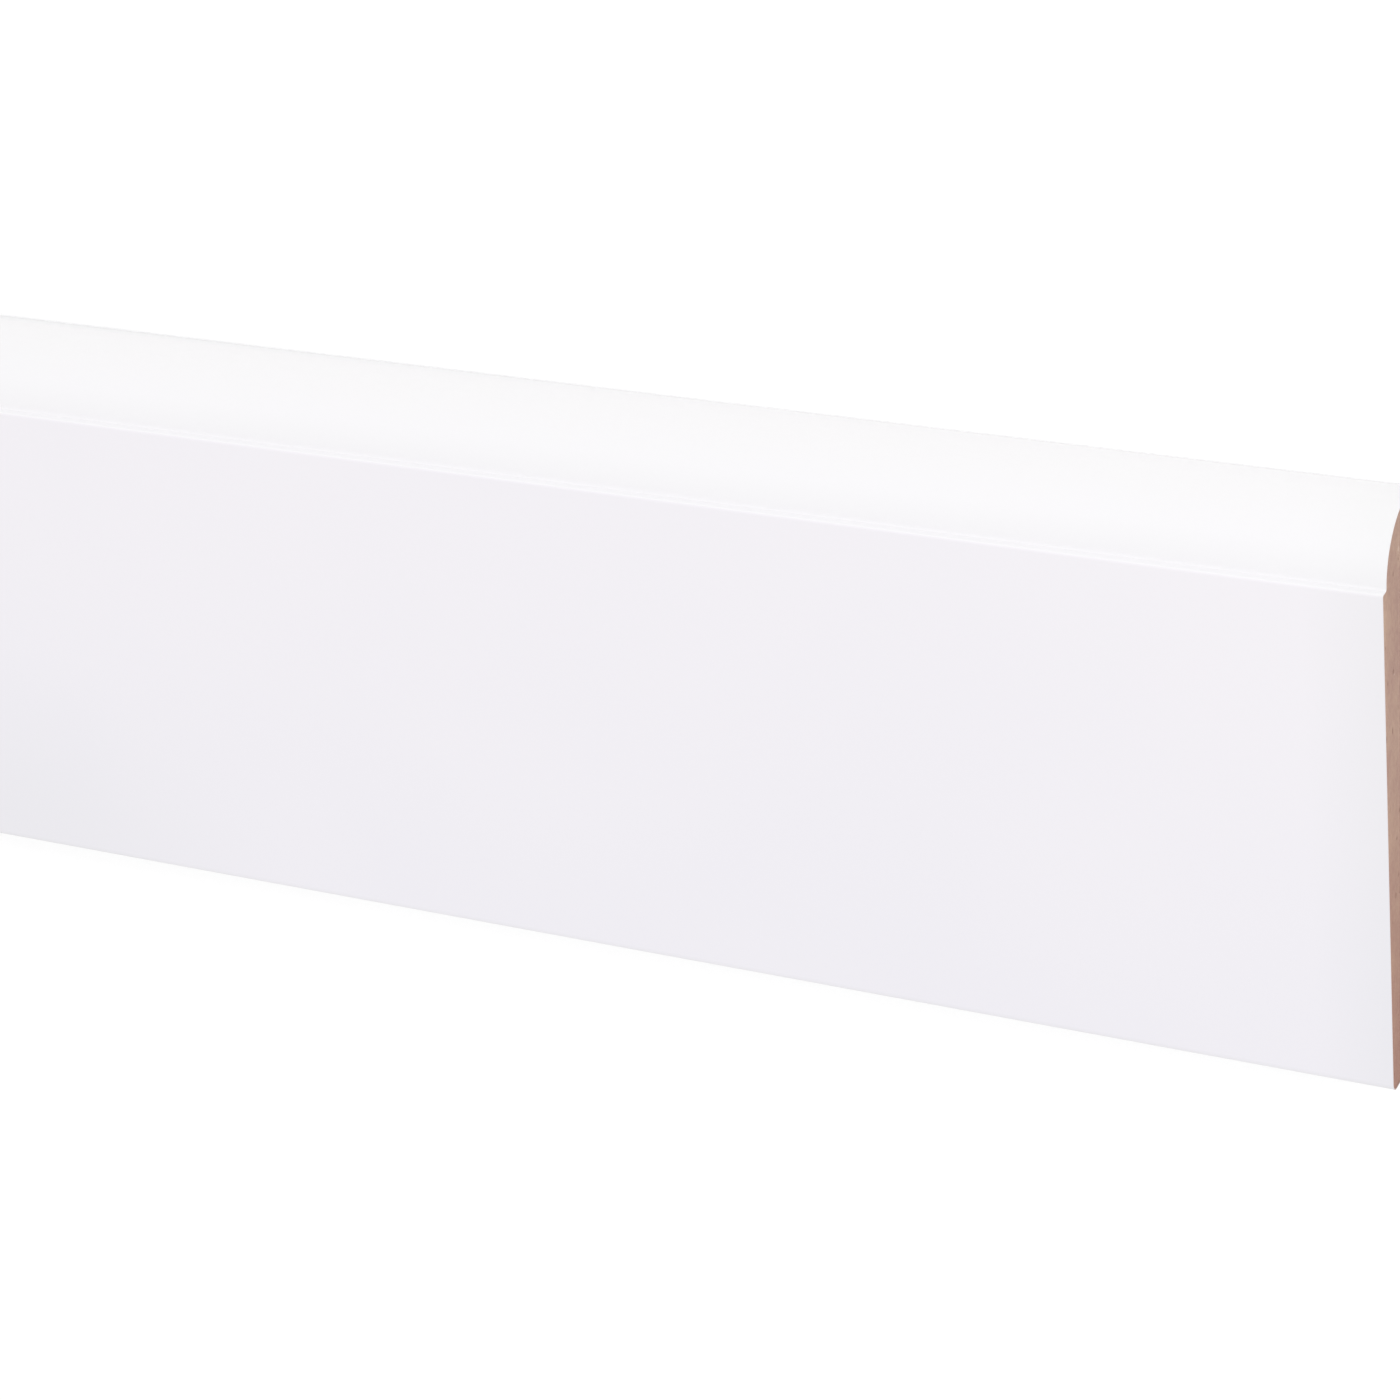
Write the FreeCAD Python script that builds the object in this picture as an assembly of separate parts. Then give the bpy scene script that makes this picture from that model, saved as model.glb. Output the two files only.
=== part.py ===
import FreeCAD, Part
import os
from FreeCAD import Vector
from math import cos, pi, sin

# Skirting board length: one piece of MDF run to an ovolo section and cut square at both ends.
# It lies on its back. X runs along the board, Y from the floor edge to the moulded edge,
# and Z out of the back, towards the room. The origin is the middle of the back face.

# Stock sizes, in millimetres
board_length = 2400.0
board_height = 119.0  # from the floor edge to the top of the moulding
board_thickness = 18.0  # from the back to the flat face

# Moulded edge
ledge_depth = 2.0  # how far the ledge steps in from the flat face
top_land = 3.0  # flat strip left along the top, beside the wall

# Rounded corners of the section, as radii
ledge_arris = 0.5  # outer corner of the ledge
ledge_root = 0.4  # inner corner, where the quarter round springs from the ledge
floor_arris = 2.0  # front corner of the floor edge
back_arris = 0.5  # both corners that meet the wall

# The quarter round fills what the ledge and the land leave of the thickness
ovolo_radius = board_thickness - ledge_depth - top_land

# Levels of the section: heights along Y, and depths along Z from the back
floor_edge = -board_height / 2
top_edge = board_height / 2
ledge_level = top_edge - ovolo_radius
back = 0.0
face = board_thickness
ledge_foot = board_thickness - ledge_depth


def section_point(height, depth):
    """A corner of the section, in the plane of the board's left end."""
    return Vector(-board_length / 2, height, depth)


def line(start, end):
    return Part.LineSegment(start, end).toShape()


def quarter_round():
    """The ovolo, from the foot on the ledge to the start of the land."""
    foot = section_point(ledge_level, ledge_foot)
    crown = section_point(top_edge, top_land)
    bulge = section_point(ledge_level + ovolo_radius * sin(pi / 4), top_land + ovolo_radius * cos(pi / 4))
    return Part.Arc(foot, bulge, crown).toShape()


def square_section():
    """The outline that the cutters leave, before its corners are eased."""
    floor_back = section_point(floor_edge, back)
    floor_front = section_point(floor_edge, face)
    ledge_front = section_point(ledge_level, face)
    ledge_inner = section_point(ledge_level, ledge_foot)
    land_front = section_point(top_edge, top_land)
    land_back = section_point(top_edge, back)
    outline = [
        line(floor_back, floor_front),
        line(floor_front, ledge_front),
        line(ledge_front, ledge_inner),
        quarter_round(),
        line(land_front, land_back),
        line(land_back, floor_back),
    ]
    return Part.Face(Part.Wire(outline))


def long_edge(solid, height, depth):
    """The edge that runs the whole length through one corner of the section."""
    corner = section_point(height, depth)
    far_corner = corner + Vector(board_length, 0, 0)
    for edge in solid.Edges:
        ends = [vertex.Point for vertex in edge.Vertexes]
        if len(ends) == 2 and any(end.isEqual(corner, 1e-6) for end in ends):
            if any(end.isEqual(far_corner, 1e-6) for end in ends):
                return edge
    raise ValueError("no long edge at this corner of the section")


def skirting_board():
    """The section run along the length, with each long corner eased to its own radius."""
    board = square_section().extrude(Vector(board_length, 0, 0))
    eased_corners = [
        (ledge_level, face, ledge_arris),
        (ledge_level, ledge_foot, ledge_root),
        (floor_edge, face, floor_arris),
        (floor_edge, back, back_arris),
        (top_edge, back, back_arris),
    ]
    for height, depth, radius in eased_corners:
        board = board.makeFillet(radius, [long_edge(board, height, depth)])
    return board


os.makedirs("parts", exist_ok=True)
board = skirting_board()
board.exportStep("parts/skirting_board.step")

size = board.BoundBox
print("solids", len(board.Solids), "valid", board.isValid(), "volume in cubic metres", board.Volume * 1e-9)
print("length", size.XLength, "height", size.YLength, "thickness", size.ZLength)
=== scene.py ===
import bpy
import math
from mathutils import Matrix, Vector


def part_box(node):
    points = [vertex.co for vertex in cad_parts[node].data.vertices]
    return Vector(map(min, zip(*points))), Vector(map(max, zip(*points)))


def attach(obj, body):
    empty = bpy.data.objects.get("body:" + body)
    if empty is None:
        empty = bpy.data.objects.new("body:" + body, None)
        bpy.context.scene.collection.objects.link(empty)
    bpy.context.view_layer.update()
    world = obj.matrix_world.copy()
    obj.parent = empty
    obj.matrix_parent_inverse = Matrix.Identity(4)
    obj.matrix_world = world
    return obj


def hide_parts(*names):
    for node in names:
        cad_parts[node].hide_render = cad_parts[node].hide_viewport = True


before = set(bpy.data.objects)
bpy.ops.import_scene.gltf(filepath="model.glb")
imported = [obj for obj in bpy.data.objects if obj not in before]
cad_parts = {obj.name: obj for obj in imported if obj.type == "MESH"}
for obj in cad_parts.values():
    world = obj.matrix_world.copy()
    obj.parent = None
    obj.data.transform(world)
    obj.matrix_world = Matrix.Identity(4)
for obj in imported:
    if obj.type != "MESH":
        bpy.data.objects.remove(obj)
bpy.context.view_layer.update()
boardLow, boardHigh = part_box("skirting_board")
mm = 0.001
print("frame loaded")

# kinds of node that the trees use most
maths = "ShaderNodeMath"
vectorMaths = "ShaderNodeVectorMath"
mapRange = "ShaderNodeMapRange"
mapping = "ShaderNodeMapping"
noise = "ShaderNodeTexNoise"
mix = "ShaderNodeMix"
# sockets of a mix node for colours: how much of the one over the other, the two, and the result
share, under, over, blended = 0, 6, 7, 2
# how the nodes of a tree are laid out for someone who opens it
nodesInRow = 24
nodeSpacing = (180, -260)


def fromHex(code):
    # an sRGB hex colour as the linear colour that nodes want
    channels = [int(code[i:i + 2], 16) / 255 for i in (1, 3, 5)]
    linear = [c / 12.92 if c <= 0.04045 else ((c + 0.055) / 1.055) ** 2.4 for c in channels]
    return (*linear, 1.0)


def add(tree, kind, inputs=(), give=0, **settings):
    # adds a node, sets its properties, fills or links its inputs, and gives back one output, or the node
    node = tree.nodes.new(kind)
    down, across = divmod(len(tree.nodes), nodesInRow)
    node.location = (across * nodeSpacing[0], down * nodeSpacing[1])
    for name, value in settings.items():
        setattr(node, name, value)
    for key, value in inputs.items() if isinstance(inputs, dict) else enumerate(inputs):
        for one in value if isinstance(value, list) else [value]:
            if isinstance(one, bpy.types.NodeSocket):
                tree.links.new(one, node.inputs[key])
            else:
                node.inputs[key].default_value = one
    return node if give is None else node.outputs[give]


def newMaterial(name, look):
    # a material and its shader's inputs, with the values that are the same all over already set
    material = bpy.data.materials.new(name)
    material.use_nodes = True
    shader = material.node_tree.nodes["Principled BSDF"].inputs
    shader["Roughness"].default_value = look["roughness"]
    shader["IOR"].default_value = look["ior"]
    return material, shader


def newObject(name, data):
    # an object in the scene, with its mesh, lamp or camera
    made = bpy.data.objects.new(name, data)
    bpy.context.scene.collection.objects.link(made)
    return made


# board as bought: the sizes of its section, and how its maps are laid out
mapSide = 1024  # pixels
board = {
    "Length": boardHigh.x - boardLow.x,
    "Height": boardHigh.y - boardLow.y,
    "Thickness": boardHigh.z - boardLow.z,
    "Ledge Depth": 2.0 * mm,
    "Top Land": 3.0 * mm,
    "Ledge Arris": 0.5 * mm,
    "Ledge Root": 0.4 * mm,
    "Floor Arris": 2.0 * mm,
    "Back Arris": 0.5 * mm,
    "Ovolo Points": 49,                     # along the quarter round
    "Floor Points": 21,                     # round the floor arris
    "Ledge Points": 11,                     # round the ledge arris
    "Small Points": 9,                      # round the ledge root and each back arris
    "Rim": 0.35 * mm,                       # band round each sawn end in which the cut coat shows
    "Stretches": 3,                         # of the run, one row of the map each
    "Map Scale": 1.15 / mm / mapSide,       # 1.15 pixels to the mm of the run
    "End Map Scale": 4.0 / mm / mapSide,    # 4 pixels to the mm of a sawn end, which carries finer detail
    "Gutter": 3 / mapSide,                  # kept free between the parts of the map
    "Weld": 0.001 * mm,                     # points nearer than this are one
}
ledgeLevel = boardHigh.y - (board["Thickness"] - board["Ledge Depth"] - board["Top Land"])


def mouldedSection(tree, size):
    # closed outline of the moulding, six rounded corners joined by straight runs, in its own X and Y
    quarter = math.pi / 2
    half = add(tree, maths, (size["Height"], 0.5), operation="MULTIPLY")
    floorSide = add(tree, maths, (half, -1.0), operation="MULTIPLY")
    ledgeFoot = add(tree, maths, (size["Thickness"], size["Ledge Depth"]), operation="SUBTRACT")
    ovolo = add(tree, maths, (ledgeFoot, size["Top Land"]), operation="SUBTRACT")
    ledge = add(tree, maths, (half, ovolo), operation="SUBTRACT")
    # the root is tangent to the ledge and to the ovolo, which leans it by a small angle
    reach = add(tree, maths, (ovolo, size["Ledge Root"]), operation="ADD")
    leanSine = add(tree, maths, (size["Ledge Root"], reach), operation="DIVIDE")
    lean = add(tree, maths, (leanSine,), operation="ARCSINE")
    leanCosine = add(tree, maths, (lean,), operation="COSINE")
    leanedTurn = add(tree, maths, (quarter, lean), operation="SUBTRACT")
    rootStart = add(tree, maths, (3 * quarter, lean), operation="SUBTRACT")
    rootTurn = add(tree, maths, (leanedTurn, -1.0), operation="MULTIPLY")
    # centre of each corner: height from the middle of the board, then depth from its back
    centres = {
        "floorBack": (add(tree, maths, (floorSide, size["Back Arris"]), operation="ADD"), size["Back Arris"]),
        "topBack": (add(tree, maths, (half, size["Back Arris"]), operation="SUBTRACT"), size["Back Arris"]),
        "ovolo": (ledge, size["Top Land"]),
        "ledgeRoot": (add(tree, maths, (ledge, size["Ledge Root"]), operation="ADD"),
                      add(tree, maths, (reach, leanCosine, size["Top Land"]), operation="MULTIPLY_ADD")),
        "ledgeArris": (add(tree, maths, (ledge, size["Ledge Arris"]), operation="SUBTRACT"),
                       add(tree, maths, (size["Thickness"], size["Ledge Arris"]), operation="SUBTRACT")),
        "floorFront": (add(tree, maths, (floorSide, size["Floor Arris"]), operation="ADD"),
                       add(tree, maths, (size["Thickness"], size["Floor Arris"]), operation="SUBTRACT")),
    }
    # radius, start, turn and number of points of each corner
    corners = {
        "floorBack": (size["Back Arris"], 2 * quarter, quarter, size["Small Points"]),
        "topBack": (size["Back Arris"], 3 * quarter, quarter, size["Small Points"]),
        "ovolo": (ovolo, 0.0, leanedTurn, size["Ovolo Points"]),
        "ledgeRoot": (size["Ledge Root"], rootStart, rootTurn, size["Small Points"]),
        "ledgeArris": (size["Ledge Arris"], 0.0, quarter, size["Ledge Points"]),
        "floorFront": (size["Floor Arris"], quarter, quarter, size["Floor Points"]),
    }
    arcs = []
    for corner, (radius, start, turn, pointsRound) in corners.items():
        arc = add(tree, "GeometryNodeCurveArc",
                  {"Resolution": pointsRound, "Radius": radius, "Start Angle": start, "Sweep Angle": turn},
                  give="Curve", mode="RADIUS")
        # out of the board is away from the centre, and towards it in the hollow of the root
        outward = add(tree, vectorMaths, (add(tree, "GeometryNodeInputPosition"),), operation="NORMALIZE")
        sign = -1.0 if corner == "ledgeRoot" else 1.0
        outward = add(tree, vectorMaths, {0: outward, "Scale": sign}, operation="SCALE")
        arc = add(tree, "GeometryNodeStoreNamedAttribute",
                  {"Geometry": arc, "Name": "outward", "Value": outward},
                  data_type="FLOAT_VECTOR", domain="POINT")
        centre = add(tree, "ShaderNodeCombineXYZ", centres[corner])
        arcs.append(add(tree, "GeometryNodeTransform", {"Geometry": arc, "Translation": centre}))
    joined = add(tree, "GeometryNodeJoinGeometry", (arcs[::-1],))
    points = add(tree, "GeometryNodeCurveToPoints", {"Curve": joined}, mode="EVALUATED")
    outline = add(tree, "GeometryNodePointsToCurves", {"Points": points})
    return add(tree, "GeometryNodeSetSplineCyclic", {"Geometry": outline, "Cyclic": True}), half


def mouldingTree(values):
    # the section run from end to end and closed, with its materials and its map
    tree = bpy.data.node_groups.new("moulding cut to length", "GeometryNodeTree")
    kinds = {int: "NodeSocketInt", float: "NodeSocketFloat", bpy.types.Material: "NodeSocketMaterial"}
    for name, value in values.items():
        tree.interface.new_socket(name=name, in_out="INPUT", socket_type=kinds[type(value)])
    tree.interface.new_socket(name="Geometry", in_out="OUTPUT", socket_type="NodeSocketGeometry")
    size = add(tree, "NodeGroupInput", give=None).outputs
    section, half = mouldedSection(tree, size)
    flat = 0.99999      # part of a flat face's normal along its axis, at least
    sameRow = 0.1       # two rows this near are one

    # a sheet with a row for each place along the board and one for each rim, and a column for each
    # point of the section and one more, which meets the first
    pointCount = add(tree, "GeometryNodeAttributeDomainSize", {"Geometry": section}, give="Point Count",
                     component="CURVE")
    rows = add(tree, maths, (size["Stretches"], 3), operation="ADD")
    columns = add(tree, maths, (pointCount, 1), operation="ADD")
    sheet = add(tree, "GeometryNodeMeshGrid",
                {"Size X": 1.0, "Size Y": 1.0, "Vertices X": rows, "Vertices Y": columns})
    index = add(tree, "GeometryNodeInputIndex")
    row = add(tree, maths, (index, 0.5), operation="ADD")
    row = add(tree, maths, (row, columns), operation="DIVIDE")
    row = add(tree, maths, (row,), operation="FLOOR")
    rowIndex = add(tree, maths, (row, columns), operation="MULTIPLY")
    column = add(tree, maths, (index, rowIndex), operation="SUBTRACT")
    pointIndex = add(tree, maths, (column, pointCount), operation="MODULO")

    # what the sheet takes from the section: place, outward direction, and way round
    place = add(tree, "GeometryNodeInputPosition")
    outward = add(tree, "GeometryNodeInputNamedAttribute", {"Name": "outward"}, data_type="FLOAT_VECTOR")
    wayRound = add(tree, "GeometryNodeSplineParameter", give="Length")
    takenPlace, takenOutward, takenWay = (
        add(tree, "GeometryNodeSampleIndex", {"Geometry": section, "Value": field, "Index": pointIndex},
            data_type=kind, domain="POINT")
        for field, kind in ((place, "FLOAT_VECTOR"), (outward, "FLOAT_VECTOR"), (wayRound, "FLOAT")))
    girth = add(tree, "GeometryNodeCurveLength", {"Curve": section})
    lastColumn = add(tree, maths, (pointCount, 0.5), operation="SUBTRACT")
    atSeam = add(tree, maths, (column, lastColumn), operation="GREATER_THAN")
    around = add(tree, maths, (girth, atSeam, takenWay), operation="MULTIPLY_ADD")

    # first and last rows lie in the planes of the sawn ends, drawn in by the rim
    station = add(tree, maths, (row, 1), operation="SUBTRACT")
    station = add(tree, "ShaderNodeClamp", (station, 0, size["Stretches"]))
    alongShare = add(tree, maths, (station, size["Stretches"]), operation="DIVIDE")
    alongShare = add(tree, maths, (alongShare, 0.5), operation="SUBTRACT")
    along = add(tree, maths, (alongShare, size["Length"]), operation="MULTIPLY")
    isFirst = add(tree, maths, (row, 0.5), operation="LESS_THAN")
    lastRow = add(tree, maths, (rows, 1.5), operation="SUBTRACT")
    isLast = add(tree, maths, (row, lastRow), operation="GREATER_THAN")
    inset = add(tree, maths, (isFirst, isLast), operation="ADD")
    inset = add(tree, maths, (inset, size["Rim"]), operation="MULTIPLY")
    inward = add(tree, maths, (inset, -1.0), operation="MULTIPLY")
    step = add(tree, vectorMaths, {0: takenOutward, "Scale": inward}, operation="SCALE")
    onSection = add(tree, vectorMaths, (takenPlace, step), operation="ADD")
    onSection = add(tree, "ShaderNodeSeparateXYZ", (onSection,), give=None).outputs
    onBoard = add(tree, "ShaderNodeCombineXYZ", (along, onSection["X"], onSection["Y"]))

    # kept for the maps before the sheet is wrapped round
    capture = add(tree, "GeometryNodeCaptureAttribute", {"Geometry": sheet}, give=None, domain="POINT")
    for name, field in (("row", row), ("around", around), ("inset", inset), ("along", along)):
        capture.capture_items.new("FLOAT", name)
        tree.links.new(field, capture.inputs[name])
    kept = capture.outputs
    run = add(tree, "GeometryNodeSetPosition", {"Geometry": kept["Geometry"], "Position": onBoard})
    run = add(tree, "GeometryNodeFlipFaces", {"Mesh": run})

    # rims at both ends belong to the sheet, so the row tells them from the run
    rimRow = add(tree, maths, (rows, 2.0), operation="SUBTRACT")
    faceRow = add(tree, "GeometryNodeFieldOnDomain", (kept["row"],), domain="FACE", data_type="FLOAT")
    onStart = add(tree, maths, (faceRow, 1.0), operation="LESS_THAN")
    onFinish = add(tree, maths, (faceRow, rimRow), operation="GREATER_THAN")
    onEnd = add(tree, maths, (onStart, onFinish), operation="ADD")

    # map of the run: stretches stacked one over another
    scale = size["Map Scale"]
    stretch = add(tree, maths, (faceRow,), operation="FLOOR")
    stretch = add(tree, maths, (stretch, 1), operation="SUBTRACT")
    stretchLength = add(tree, maths, (size["Length"], size["Stretches"]), operation="DIVIDE")
    fromLeft = add(tree, maths, (size["Length"], 0.5, kept["along"]), operation="MULTIPLY_ADD")
    stretchStart = add(tree, maths, (stretch, stretchLength), operation="MULTIPLY")
    inStretch = add(tree, maths, (fromLeft, stretchStart), operation="SUBTRACT")
    runU = add(tree, maths, (inStretch, scale, size["Gutter"]), operation="MULTIPLY_ADD")
    rowHeight = add(tree, maths, (girth, scale, size["Gutter"]), operation="MULTIPLY_ADD")
    rowFoot = add(tree, maths, (stretch, rowHeight, size["Gutter"]), operation="MULTIPLY_ADD")
    runV = add(tree, maths, (kept["around"], scale, rowFoot), operation="MULTIPLY_ADD")
    runMap = add(tree, "ShaderNodeCombineXYZ", (runU, runV))

    # map of the sawn ends: side by side above the stretches
    now = add(tree, "ShaderNodeSeparateXYZ", (add(tree, "GeometryNodeInputPosition"),), give=None).outputs
    endScale = size["End Map Scale"]
    besides = add(tree, maths, (size["Gutter"], 2.0), operation="MULTIPLY")
    above = add(tree, maths, (size["Gutter"], 3.0), operation="MULTIPLY")
    isRight = add(tree, maths, (now["X"], 0.0), operation="GREATER_THAN")
    endWidth = add(tree, maths, (size["Height"], endScale, besides), operation="MULTIPLY_ADD")
    endStart = add(tree, maths, (isRight, endWidth, size["Gutter"]), operation="MULTIPLY_ADD")
    fromFloorEdge = add(tree, maths, (now["Y"], half), operation="ADD")
    endU = add(tree, maths, (fromFloorEdge, endScale, endStart), operation="MULTIPLY_ADD")
    endFoot = add(tree, maths, (rowHeight, size["Stretches"], above), operation="MULTIPLY_ADD")
    endV = add(tree, maths, (now["Z"], endScale, endFoot), operation="MULTIPLY_ADD")
    endMap = add(tree, "ShaderNodeCombineXYZ", (endU, endV))
    # sockets of a mix node set to vectors: 4 and 5 are the two, and 1 is the result
    wholeMap = add(tree, mix, {share: onEnd, 4: runMap, 5: endMap}, give=1, data_type="VECTOR")
    run = add(tree, "GeometryNodeStoreNamedAttribute", {"Geometry": run, "Name": "OFBake", "Value": wholeMap},
              data_type="FLOAT2", domain="CORNER")
    run = add(tree, "GeometryNodeStoreNamedAttribute",
              {"Geometry": run, "Name": "inset", "Value": kept["inset"]}, data_type="FLOAT", domain="CORNER")

    # flat strips stay flat and the rounded ones are smooth, with a hard edge where the saw went
    facing = add(tree, "GeometryNodeInputNormal", give="True Normal")
    facing = add(tree, "ShaderNodeSeparateXYZ", (facing,), give=None).outputs
    facingUp = add(tree, maths, (facing["Z"],), operation="ABSOLUTE")
    facingSide = add(tree, maths, (facing["Y"],), operation="ABSOLUTE")
    squareness = add(tree, maths, (facingUp, facingSide), operation="MAXIMUM")
    isRounded = add(tree, maths, (squareness, flat), operation="LESS_THAN")
    isRounded = add(tree, maths, (isRounded, onEnd), operation="SUBTRACT")
    run = add(tree, "GeometryNodeSetShadeSmooth", {"Geometry": run, "Shade Smooth": isRounded}, domain="FACE")
    edgeRow = add(tree, "GeometryNodeFieldOnDomain", (kept["row"],), domain="EDGE", data_type="FLOAT")
    atStart = add(tree, maths, (edgeRow, 1.0, sameRow), operation="COMPARE")
    atFinish = add(tree, maths, (edgeRow, rimRow, sameRow), operation="COMPARE")
    isArris = add(tree, maths, (atStart, atFinish), operation="ADD")
    run = add(tree, "GeometryNodeSetShadeSmooth",
              {"Geometry": run, "Selection": isArris, "Shade Smooth": False}, domain="EDGE")

    # coat everywhere but on the back and the sawn ends
    isBack = add(tree, maths, (facing["Z"], -flat), operation="LESS_THAN")
    run = add(tree, "GeometryNodeSetMaterial", {"Geometry": run, "Material": size["Primer"]})
    run = add(tree, "GeometryNodeSetMaterial",
              {"Geometry": run, "Selection": isBack, "Material": size["Bare Back"]})

    # the core of each sawn end closes the run
    backStep = add(tree, maths, (size["Rim"], -1.0), operation="MULTIPLY")
    inner = add(tree, vectorMaths, {0: outward, "Scale": backStep}, operation="SCALE")
    inner = add(tree, "GeometryNodeSetPosition", {"Geometry": section, "Offset": inner})
    core = add(tree, "GeometryNodeFillCurve", {"Curve": inner}, mode="NGONS")
    parts = [run]
    for side in (-0.5, 0.5):
        endPlane = add(tree, maths, (size["Length"], side), operation="MULTIPLY")
        endPlace = add(tree, "ShaderNodeCombineXYZ", (endPlane, now["X"], now["Y"]))
        end = add(tree, "GeometryNodeSetPosition", {"Geometry": core, "Position": endPlace})
        if side < 0:
            end = add(tree, "GeometryNodeFlipFaces", {"Mesh": end})
        for name, value, kind in (("OFBake", endMap, "FLOAT2"), ("inset", size["Rim"], "FLOAT")):
            end = add(tree, "GeometryNodeStoreNamedAttribute",
                      {"Geometry": end, "Name": name, "Value": value}, data_type=kind, domain="CORNER")
        end = add(tree, "GeometryNodeSetShadeSmooth", {"Geometry": end, "Shade Smooth": False}, domain="FACE")
        parts.append(end)
    whole = add(tree, "GeometryNodeJoinGeometry", (parts[::-1],))
    whole = add(tree, "GeometryNodeMergeByDistance", {"Geometry": whole, "Distance": size["Weld"]})
    whole = add(tree, "GeometryNodeRealizeInstances", {"Geometry": whole})
    isEnd = add(tree, maths, (facing["X"],), operation="ABSOLUTE")
    isEnd = add(tree, maths, (isEnd, flat), operation="GREATER_THAN")
    whole = add(tree, "GeometryNodeSetMaterial",
                {"Geometry": whole, "Selection": isEnd, "Material": size["Sawn End"]})
    add(tree, "NodeGroupOutput", (whole,), give=None)
    return tree


# Primer: white water-based acrylic, curtain coated on moulded MDF and lightly sanded.
# It gives a clean satin white with a hint of lilac, too even to show more than a slight drift
# on the flat face, and a little rougher where the cutters opened the softer core.
primerLook = {
    "thick": "#EFECF0", "faceDriftAndShade": "#EAE8EE",          # on the face: its own colour, and the darker one of the drift patches and the painted shade by its foot
    "crown": "#EDECED", "flank": "#F0EFF1",         # on the moulding, by the land, a little darker as painted shade, and lower down
    "ledgeHighlight": "#F2F1F3",                            # painted highlight on the ledge
    "floorEdgeShade": "#E3E3E2", "landEdgeShade": "#E7E7E8",  # painted shade on the rounded edges, by the floor and by the wall
    "greyTint": "#FAFBFA",                           # tint of what is greyed
    "roughness": 0.42, "ior": 1.49,
    "rougher": 0.06,                    # what the moulding adds to the roughness
    "drift": 60 * mm,                   # wet coat levels out over about a hand's breadth
    "driftEnds": (0.35, 0.65),          # of the noise, spread from 0 to 1
    "drifting": (0.2, 0.03),            # what it adds to the darker colour's share and to the roughness
    "footShading": (0.1, 0.8),             # painted shade down the face: the darker colour's share at the top of the face and at its foot
    "peel": (2.2 * mm, 0.04 * mm, 0.6), # orange peel: width, depth and strength
    "ripple": 1.6 * mm,                 # cutter marks along the moulding
    "grain": 0.5 * mm,                  # fibres under the coat of the moulding
    "cut": (0.008 * mm, 0.4),           # depth and strength of both
    "alongWave": 800 * mm,                  # of the waves along the board, in which the painted shade on the land and the greying low on the face come and go
    "endGreying": 15 * mm,                    # of each end, which is faintly greyed
    # where each starts and is full, and what it then goes from and to
    "coat": (-0.15 * mm, -0.05 * mm),   # moulding's colours, up from the ledge
    "ledgeHighlightRise": (1.2 * mm, 0.2 * mm),       # painted highlight, up from the ledge
    "curve": (0.5 * mm, 6.5 * mm),      # flank's colour, down from the top
    "byFloor": (1.5 * mm, 0.3 * mm, 0.0, 0.6),  # painted shade line, up from the floor edge
    "byTop": (0.9 * mm, 0.2 * mm),      # painted shade line on the land, down from the top
    "byWall": (2.2 * mm, 0.8 * mm),     # the same, from the back
    "low": (-10 * mm, -50 * mm),        # greyed waves on the face, from the board's middle
    "crest": (0.3, 0.85),               # greyed part of a wave, by its height
    "patch": (-0.8, 0.8),               # the same for the painted shade line on the land
}


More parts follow.
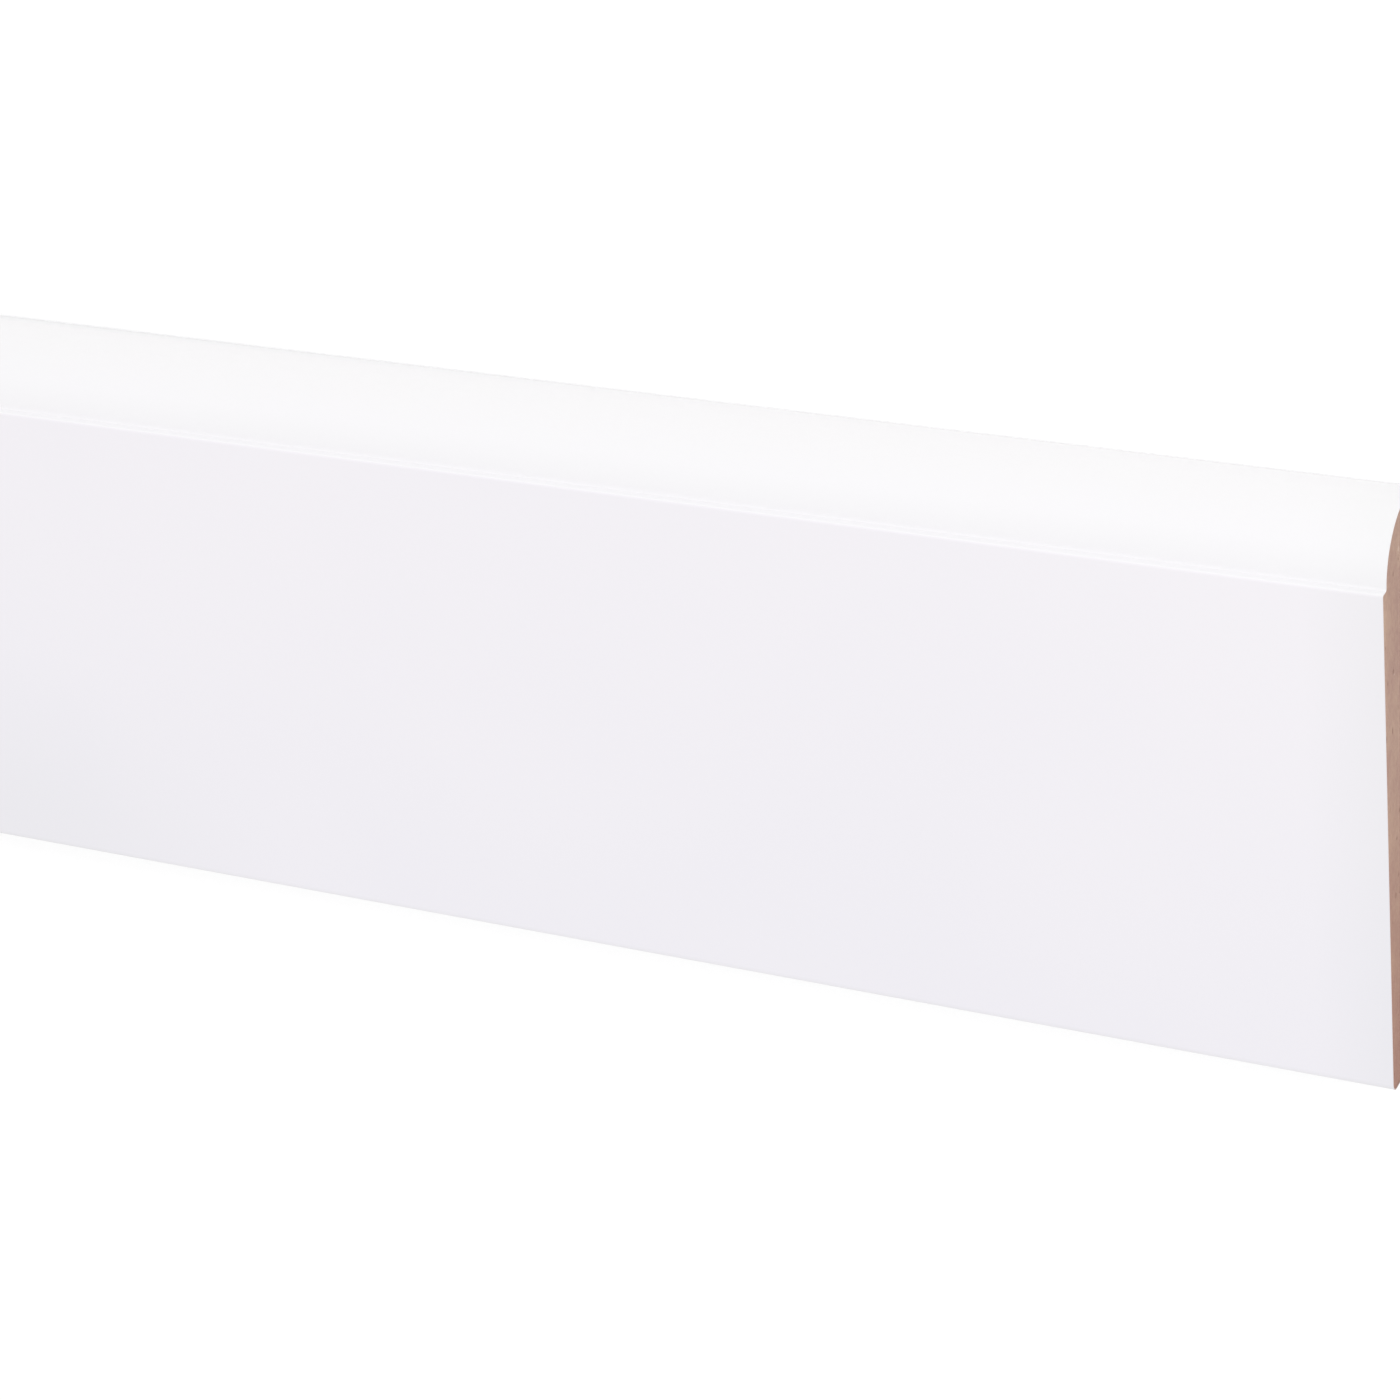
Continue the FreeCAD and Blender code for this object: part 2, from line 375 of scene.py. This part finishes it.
def primerMaterial(look):
    material, shader = newMaterial("acrylicPrimer", look)
    tree = material.node_tree
    place = add(tree, "ShaderNodeTexCoord", give="Object")
    axes = add(tree, "ShaderNodeSeparateXYZ", (place,), give=None).outputs
    fromLedge = add(tree, maths, (axes["Y"], ledgeLevel), operation="SUBTRACT")
    fromTop = add(tree, maths, (boardHigh.y, axes["Y"]), operation="SUBTRACT")
    fromFloor = add(tree, maths, (axes["Y"], boardLow.y), operation="SUBTRACT")

    # the face is painted a little darker towards its foot as painted shade, and darker in the coat's drift
    # patches
    colourDrift, roughDrift = look["drifting"]
    drift = add(tree, noise, {"Vector": place, "Scale": 1 / look["drift"], "Detail": 2.0})
    drift = add(tree, mapRange, (drift, *look["driftEnds"]))
    faceTop = ledgeLevel - board["Ledge Arris"]
    down = add(tree, mapRange, (axes["Y"], faceTop, boardLow.y, *look["footShading"]))
    down = add(tree, maths, (drift, colourDrift, down), operation="MULTIPLY_ADD")
    colour = add(tree, mix, {share: down, under: fromHex(look["thick"]), over: fromHex(look["faceDriftAndShade"])},
                 give=blended, data_type="RGBA")

    # 1 on the moulding and the land, which take a slightly fuller coat, and 0 below the ledge
    onMoulding = add(tree, mapRange, (fromLedge, *look["coat"]))
    # the moulding is painted a little darker by the land than lower down, as painted shade near its top edge
    onFlank = add(tree, mapRange, (fromTop, *look["curve"]))
    moulding = add(tree, mix, {share: onFlank, under: fromHex(look["crown"]), over: fromHex(look["flank"])},
                   give=blended, data_type="RGBA")
    colour = add(tree, mix, {share: onMoulding, under: colour, over: moulding},
                 give=blended, data_type="RGBA")

    # the ledge is painted whiter as a painted highlight, fading up the foot of the quarter round
    onLedge = add(tree, mapRange, (fromLedge, *look["ledgeHighlightRise"]))
    onLedge = add(tree, maths, (onLedge, onMoulding), operation="MULTIPLY")
    colour = add(tree, mix, {share: onLedge, under: colour, over: fromHex(look["ledgeHighlight"])},
                 give=blended, data_type="RGBA")

    # painted shade on the floor arris, and along the back of the land in waves along the board
    byFloor = add(tree, mapRange, (fromFloor, *look["byFloor"]))
    colour = add(tree, mix, {share: byFloor, under: colour, over: fromHex(look["floorEdgeShade"])},
                 give=blended, data_type="RGBA")
    alongWave = add(tree, maths, (axes["X"], math.tau / look["alongWave"]), operation="MULTIPLY")
    alongWave = add(tree, maths, (alongWave,), operation="COSINE")
    landShade = add(tree, mapRange, (alongWave, *look["patch"]))
    for distance, ends in ((fromTop, look["byTop"]), (axes["Z"], look["byWall"])):
        nearIt = add(tree, mapRange, (distance, *ends))
        landShade = add(tree, maths, (landShade, nearIt), operation="MULTIPLY")
    colour = add(tree, mix, {share: landShade, under: colour, over: fromHex(look["landEdgeShade"])},
                 give=blended, data_type="RGBA")

    # faintly greyed by the cut ends, half as much on the moulding, and low on the face in the same waves
    fromCentre = add(tree, maths, (axes["X"],), operation="ABSOLUTE")
    atEnd = add(tree, mapRange, (fromCentre, boardHigh.x - look["endGreying"], boardHigh.x))
    low = add(tree, mapRange, (axes["Y"], *look["low"]))
    wave = add(tree, mapRange, (alongWave, *look["crest"]), interpolation_type="SMOOTHSTEP")
    wave = add(tree, maths, (wave, low), operation="MULTIPLY")
    greyed = add(tree, maths, (atEnd, wave), operation="MAXIMUM")
    greyable = add(tree, maths, (onMoulding, -0.5, 1.0), operation="MULTIPLY_ADD")
    greyed = add(tree, maths, (greyed, greyable), operation="MULTIPLY")
    colour = add(tree, mix, {share: greyed, under: colour, over: fromHex(look["greyTint"])},
                 give=blended, data_type="RGBA", blend_type="MULTIPLY")

    # orange peel all over, and on the moulding the cutter marks and fibres that show through the coat
    width, depth, strength = look["peel"]
    peel = add(tree, noise, {"Vector": place, "Scale": 1 / width, "Detail": 1.5})
    peel = add(tree, "ShaderNodeBump", {"Height": peel, "Strength": strength, "Distance": depth})
    grain = add(tree, noise, {"Vector": place, "Scale": 1 / look["grain"], "Detail": 2.0})
    ripple = add(tree, "ShaderNodeTexWave",
                 {"Vector": place, "Scale": 0.1 * math.pi / look["ripple"], "Distortion": 1.0, "Detail": 0.0},
                 give="Fac", bands_direction="X")
    cut = add(tree, maths, (ripple, grain, grain), operation="MULTIPLY_ADD")
    cut = add(tree, maths, (cut, onMoulding), operation="MULTIPLY")
    depth, strength = look["cut"]
    bump = add(tree, "ShaderNodeBump",
               {"Height": cut, "Strength": strength, "Distance": depth, "Normal": peel})
    rough = add(tree, maths, (onMoulding, look["rougher"], look["roughness"]), operation="MULTIPLY_ADD")
    rough = add(tree, maths, (drift, roughDrift, rough), operation="MULTIPLY_ADD")
    for name, output in (("Base Color", colour), ("Roughness", rough), ("Normal", bump)):
        tree.links.new(output, shader[name])
    return material


# Bare back: MDF as it leaves the wide-belt sander.
# The belt leaves fine lines along the board, and short fibres, light and dark, lie every way in the
# plane of the sheet. Primer from the edges has crept on to it in a ragged border.
backLook = {
    "fibre": "#C6AA96", "shade": "#B89B87", "primer": "#EDEAEC",
    "roughness": 0.78, "primerRoughness": 0.5, "ior": 1.5,
    "line": (70 * mm, 0.7 * mm),        # sanding line: length and width, drawn coarser than the 120 grit's
    "grain": 1.1 * mm,
    "cloud": 45 * mm,                   # slow change of tone
    "lineShare": 0.5, "cloudShare": 0.5,    # of the tone, besides the grain
    "toneEnds": (0.75, 1.25),           # of the three together, spread from shade to fibre
    "relief": (0.03 * mm, 0.4),         # depth and strength
    "strand": (9.0 * mm, 2.0 * mm),     # room for one fibre bundle, drawn coarser than it is
    "strandEnds": (0.15, 0.06, 0.0, 0.5),   # share of that room at its edge and where it is full
    "strands": {"#96776A": 0.4, "#DBC6B4": -0.7, "#A08372": 1.5, "#D6C0AD": 2.5},  # how each colour lies
    "creep": 58.2 * mm,                 # how far from the middle the primer starts, on average
    "bay": (6 * mm, 3 * mm),            # of its ragged border: length and depth
    "feather": 0.3 * mm,                # of its edge
}


def backMaterial(look):
    material, shader = newMaterial("sandedMdf", look)
    tree = material.node_tree
    place = add(tree, "ShaderNodeTexCoord", give="Object")
    axes = add(tree, "ShaderNodeSeparateXYZ", (place,), give=None).outputs
    length, width = look["line"]
    stretched = add(tree, mapping, {"Vector": place, "Scale": (1 / length, 1 / width, 1 / width)})
    lines = add(tree, noise, {"Vector": stretched, "Scale": 1.0, "Detail": 3.0})
    grain = add(tree, noise, {"Vector": place, "Scale": 1 / look["grain"], "Detail": 3.0, "Roughness": 0.65})
    cloud = add(tree, noise, {"Vector": place, "Scale": 1 / look["cloud"], "Detail": 3.0})
    tone = add(tree, maths, (lines, look["lineShare"], grain), operation="MULTIPLY_ADD")
    tone = add(tree, maths, (cloud, look["cloudShare"], tone), operation="MULTIPLY_ADD")
    tone = add(tree, mapRange, (tone, *look["toneEnds"]))
    colour = add(tree, mix, {share: tone, under: fromHex(look["shade"]), over: fromHex(look["fibre"])},
                 give=blended, data_type="RGBA")

    # fibre bundles, one colour and one direction at a time
    length, width = look["strand"]
    for code, angle in look["strands"].items():
        laid = add(tree, mapping, {"Vector": place, "Location": (angle, 0, 0), "Rotation": (0, 0, angle),
                                   "Scale": (length, width, width)}, vector_type="TEXTURE")
        strand = add(tree, "ShaderNodeTexVoronoi", {"Vector": laid, "Scale": 1.0}, give="Distance")
        strand = add(tree, mapRange, (strand, *look["strandEnds"]))
        colour = add(tree, mix, {share: strand, under: colour, over: fromHex(code)},
                     give=blended, data_type="RGBA")

    # primer that crept on to the back from both edges
    length, depth = look["bay"]
    ragged = add(tree, noise, {"Vector": place, "Scale": 1 / length, "Detail": 4.0, "Roughness": 0.7})
    fromMiddle = add(tree, maths, (axes["Y"],), operation="ABSOLUTE")
    border = add(tree, maths, (ragged, depth, fromMiddle), operation="MULTIPLY_ADD")
    start = look["creep"] + depth / 2
    border = add(tree, mapRange, (border, start, start + look["feather"]))
    colour = add(tree, mix, {share: border, under: colour, over: fromHex(look["primer"])},
                 give=blended, data_type="RGBA")
    rough = add(tree, mapRange, (border, 0.0, 1.0, look["roughness"], look["primerRoughness"]))
    height = add(tree, maths, (lines, grain), operation="ADD")
    depth, strength = look["relief"]
    bump = add(tree, "ShaderNodeBump", {"Height": height, "Strength": strength, "Distance": depth})
    for name, output in (("Base Color", colour), ("Roughness", rough), ("Normal", bump)):
        tree.links.new(output, shader[name])
    return material


# Sawn end: MDF cut square by a circular saw.
# The torn fibres look matt and a little pinkish brown, mottled with darker and paler flecks that lie
# along the pressed layers. The skins by both faces are paler, the cut is painted darker and redder towards
# the floor edge as painted shade, its foot has a painted contact shadow, and the coat's cut edge is a pale
# line.
sawnLook = {
    "light": "#BDA08C", "mid": "#A6847A", "dark": "#8A6A5D", "pale": "#DCC8BC",
    "shadedBrown": "#966454", "coat": "#CDBBB6", "roughness": 0.9, "ior": 1.5,
    "drift": 9 * mm,                    # patches of warmer and pinker brown
    "dash": (2.4 * mm, 1.4 * mm),       # mottling: along the height and through the thickness
    "fibre": (1.4 * mm, 0.35 * mm),     # torn fibres, drawn coarser than they are
    "fibreShare": 0.9,                  # of the tone, besides the patches and the mottling
    "toneEnds": (1.05, 1.85),           # of the three together, spread from mid to light
    "fleck": (5.0 * mm, 2.6 * mm),      # room for one fleck
    "fleckEnds": (0.17, 0.08, 0.0, 0.8),    # share of that room at its edge and where it is full
    "fleckDark": 0.4,                   # part of the flecks that is dark
    "tear": (0.5 * mm, 0.2),            # raggedness of a fleck's outline: width, and share of its room
    "skin": 4.0 * mm,                   # pressed layer by each face
    "skinTones": (0.95, 0.99),          # where it starts and at the face
    "footShade": (25 * mm, 0.5),          # painted shade towards the floor edge: where it starts, over the board's middle, and share at the foot
    "footShadow": (1.3 * mm, 0.6),            # painted contact shadow at the foot: its height, and its tone
    "film": 0.22 * mm,                  # coat, drawn thicker than it is so that its edge shows
    "filmEnds": (0.1 * mm, -0.02 * mm), # beyond that, where the coat starts and is full
    "filmShare": 0.8,                   # of its colour where it is full
    "wander": (0.8 * mm, 0.12 * mm),    # of the coat's inner line: length and depth
    "bareBack": (0.4 * mm, 0.8 * mm),   # from the back, where the coat starts and is full
    "blade": (125 * mm, 30 * mm),       # saw's centre: under the back, and towards the floor edge
    "tooth": 0.9 * mm,                  # between the arcs that cross the cut
    "arcShare": 0.35,                   # of the relief, besides the fibres
    "relief": (0.15 * mm, 0.5),         # depth and strength
}


def sawnMaterial(look):
    material, shader = newMaterial("sawnMdf", look)
    tree = material.node_tree
    place = add(tree, "ShaderNodeTexCoord", give="Object")
    axes = add(tree, "ShaderNodeSeparateXYZ", (place,), give=None).outputs
    inDashes, inFibres, inFlecks = (
        add(tree, mapping, {"Vector": place, "Scale": (1 / high, 1 / high, 1 / deep)})
        for high, deep in (look["dash"], look["fibre"], look["fleck"]))
    dashes = add(tree, noise, {"Vector": inDashes, "Scale": 1.0, "Detail": 4.0, "Roughness": 0.7})
    drift = add(tree, noise, {"Vector": place, "Scale": 1 / look["drift"], "Detail": 1.0})
    fibres = add(tree, noise, {"Vector": inFibres, "Scale": 1.0, "Detail": 3.0, "Roughness": 0.7})
    tone = add(tree, maths, (dashes, drift), operation="ADD")
    tone = add(tree, maths, (fibres, look["fibreShare"], tone), operation="MULTIPLY_ADD")
    tone = add(tree, mapRange, (tone, *look["toneEnds"]))
    colour = add(tree, mix, {share: tone, under: fromHex(look["mid"]), over: fromHex(look["light"])},
                 give=blended, data_type="RGBA")

    # flecks with ragged outlines, some dark and some pale
    width, depth = look["tear"]
    ragged = add(tree, noise, {"Vector": place, "Scale": 1 / width, "Detail": 2.0}, give="Color")
    ragged = add(tree, vectorMaths, (ragged, (depth, depth, depth), inFlecks), operation="MULTIPLY_ADD")
    flecks = add(tree, "ShaderNodeTexVoronoi", {"Vector": ragged, "Scale": 1.0}, give=None).outputs
    isPale = add(tree, "ShaderNodeSeparateXYZ", (flecks["Color"],))
    isPale = add(tree, maths, (isPale, look["fleckDark"]), operation="GREATER_THAN")
    fleckColour = add(tree, mix, {share: isPale, under: fromHex(look["dark"]), over: fromHex(look["pale"])},
                      give=blended, data_type="RGBA")
    onFleck = add(tree, mapRange, (flecks["Distance"], *look["fleckEnds"]))
    colour = add(tree, mix, {share: onFleck, under: colour, over: fleckColour},
                 give=blended, data_type="RGBA")

    # pressed skins, nearest the face and the back, then the painted shade towards the floor edge and the
    # painted contact shadow at its foot
    middle = boardHigh.z / 2
    fromCore = add(tree, maths, (axes["Z"], middle), operation="SUBTRACT")
    fromCore = add(tree, maths, (fromCore,), operation="ABSOLUTE")
    skin = add(tree, mapRange, (fromCore, middle - look["skin"], middle, *look["skinTones"]))
    start, most = look["footShade"]
    footShade = add(tree, mapRange, (axes["Y"], start, boardLow.y, 0.0, most), interpolation_type="SMOOTHSTEP")
    colour = add(tree, mix, {share: footShade, under: colour, over: fromHex(look["shadedBrown"])},
                 give=blended, data_type="RGBA")
    rise, tone = look["footShadow"]
    footShadowing = add(tree, mapRange, (axes["Y"], boardLow.y + rise, boardLow.y, 1.0, tone))
    shade = add(tree, maths, (skin, footShadowing), operation="MULTIPLY")
    colour = add(tree, vectorMaths, {0: colour, "Scale": shade}, operation="SCALE")

    # cut edge of the coat, a little uneven, on every side but the back
    length, depth = look["wander"]
    start, full = (look["film"] + end for end in look["filmEnds"])
    inset = add(tree, "ShaderNodeAttribute", give="Fac", attribute_name="inset")
    uneven = add(tree, noise, {"Vector": place, "Scale": 1 / length, "Detail": 2.0})
    uneven = add(tree, maths, (uneven, depth, inset), operation="MULTIPLY_ADD")
    film = add(tree, mapRange, (uneven, start, full, 0.0, look["filmShare"]))
    coated = add(tree, mapRange, (axes["Z"], *look["bareBack"]))
    film = add(tree, maths, (film, coated), operation="MULTIPLY")
    colour = add(tree, mix, {share: film, under: colour, over: fromHex(look["coat"])},
                 give=blended, data_type="RGBA")

    # torn fibres, and faint arcs left by the blade
    beneath, aside = look["blade"]
    centred = add(tree, mapping, {"Vector": place, "Location": (0, aside, beneath)})
    inCut = add(tree, vectorMaths, (centred, (0, 1, 1)), operation="MULTIPLY")
    arcs = add(tree, "ShaderNodeTexWave",
               {"Vector": inCut, "Scale": 0.1 * math.pi / look["tooth"], "Distortion": 1.5, "Detail": 1.0},
               give="Fac", wave_type="RINGS", rings_direction="SPHERICAL")
    height = add(tree, maths, (arcs, look["arcShare"], fibres), operation="MULTIPLY_ADD")
    depth, strength = look["relief"]
    bump = add(tree, "ShaderNodeBump", {"Height": height, "Strength": strength, "Distance": depth})
    for name, output in (("Base Color", colour), ("Normal", bump)):
        tree.links.new(output, shader[name])
    return material


materials = {"Primer": primerMaterial(primerLook), "Bare Back": backMaterial(backLook),
             "Sawn End": sawnMaterial(sawnLook)}
print("materials made")

skirtingBoard = newObject("skirtingBoard", bpy.data.meshes.new("skirtingBoard"))
cutting = skirtingBoard.modifiers.new("cutting", "NODES")
values = {**board, **materials}
cutting.node_group = mouldingTree(values)
for socket in cutting.node_group.interface.items_tree:
    if socket.in_out == "INPUT":
        cutting[socket.identifier] = values[socket.name]
graph = bpy.context.evaluated_depsgraph_get()
skirtingBoard.data = bpy.data.meshes.new_from_object(
    skirtingBoard.evaluated_get(graph), preserve_all_data_layers=True, depsgraph=graph)
skirtingBoard.modifiers.remove(cutting)
slots = skirtingBoard.data.materials
for index in reversed(range(len(slots))):
    if slots[index] is None:
        slots.pop(index=index)
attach(skirtingBoard, "root")
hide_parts("skirting_board")
print("board made,", len(skirtingBoard.data.polygons), "faces")

# a plain pale floor of matt paper, level, just under the board's back, with a glow that keeps it white
floor = {"size": 60.0, "gap": 0.05 * mm, "colour": "#FAFAFA", "roughness": 0.9, "ior": 1.5, "glow": 0.08}
reach, level = floor["size"] / 2, -floor["gap"]
floorMesh = bpy.data.meshes.new("floor")
floorMesh.from_pydata([(-reach, -reach, level), (reach, -reach, level), (reach, reach, level),
                       (-reach, reach, level)], [], [(0, 1, 2, 3)])
floorPiece = newObject("floor", floorMesh)
paper, paperShader = newMaterial("studioPaper", floor)
paperShader["Base Color"].default_value = fromHex(floor["colour"])
paperShader["Emission Color"].default_value = (1, 1, 1, 1)
paperShader["Emission Strength"].default_value = floor["glow"]
floorMesh.materials.append(paper)

# soft light from all round, and a large soft lamp on the moulded side, by the right end
light = {
    "around": 0.935,
    "lampPower": 9.0, "lampSize": 1.6, "lampPlace": (1.9, 1.3, 1.5), "lampAim": (1.05, 0, 0),
}
world = bpy.data.worlds.new("studio")
bpy.context.scene.world = world
world.use_nodes = True
sky = world.node_tree.nodes["Background"].inputs
sky["Color"].default_value = (1, 1, 1, 1)
sky["Strength"].default_value = light["around"]
lampData = bpy.data.lights.new("softLamp", "AREA")
lampData.size = light["lampSize"]
lampData.energy = light["lampPower"]
lamp = newObject("softLamp", lampData)
lamp.visible_camera = False
lamp.location = light["lampPlace"]
lamp.rotation_mode = "QUATERNION"
lamp.rotation_quaternion = (Vector(light["lampAim"]) - Vector(light["lampPlace"])).to_track_quat("-Z", "Y")
bpy.context.scene.view_settings.view_transform = "Standard"

# the camera, as seen by someone facing the board where it stands on its floor edge
view = {
    "turn": 29.20167, "rise": 29.21237, "roll": -6.47068,               # degrees
    "lens": 108.0882, "sensor": 36.0,                                   # mm
    "away": 787.19 * mm, "aside": -129.90 * mm, "above": 73.77 * mm,    # from the foot of the right end
    "clip": (0.01, 100),
}


def laidDown(direction):
    # a direction by the standing board, as it is once the board lies on its back
    return Vector((direction.x, direction.z, -direction.y))


turn, rise, roll = (math.radians(view[key]) for key in ("turn", "rise", "roll"))
back = Vector((math.sin(turn) * math.cos(rise), -math.cos(turn) * math.cos(rise), math.sin(rise)))
right = Vector((math.cos(turn), math.sin(turn), 0))
up = back.cross(right)
right, up = (right * math.cos(roll) + up * math.sin(roll), up * math.cos(roll) - right * math.sin(roll))
standing = right * view["aside"] + up * view["above"] + back * view["away"]
foot = Vector((boardHigh.x, boardLow.y, boardHigh.z))  # front corner of the floor edge, at the right end
cameraData = bpy.data.cameras.new("camera")
cameraData.lens = view["lens"]
cameraData.sensor_width = view["sensor"]
cameraData.clip_start, cameraData.clip_end = view["clip"]
camera = newObject("camera", cameraData)
cameraAxes = Matrix([laidDown(right), laidDown(up), laidDown(back)]).transposed()
camera.rotation_mode = "QUATERNION"
camera.rotation_quaternion = cameraAxes.to_quaternion()
camera.location = foot + laidDown(standing)
bpy.context.scene.camera = camera
print("camera and lights placed")
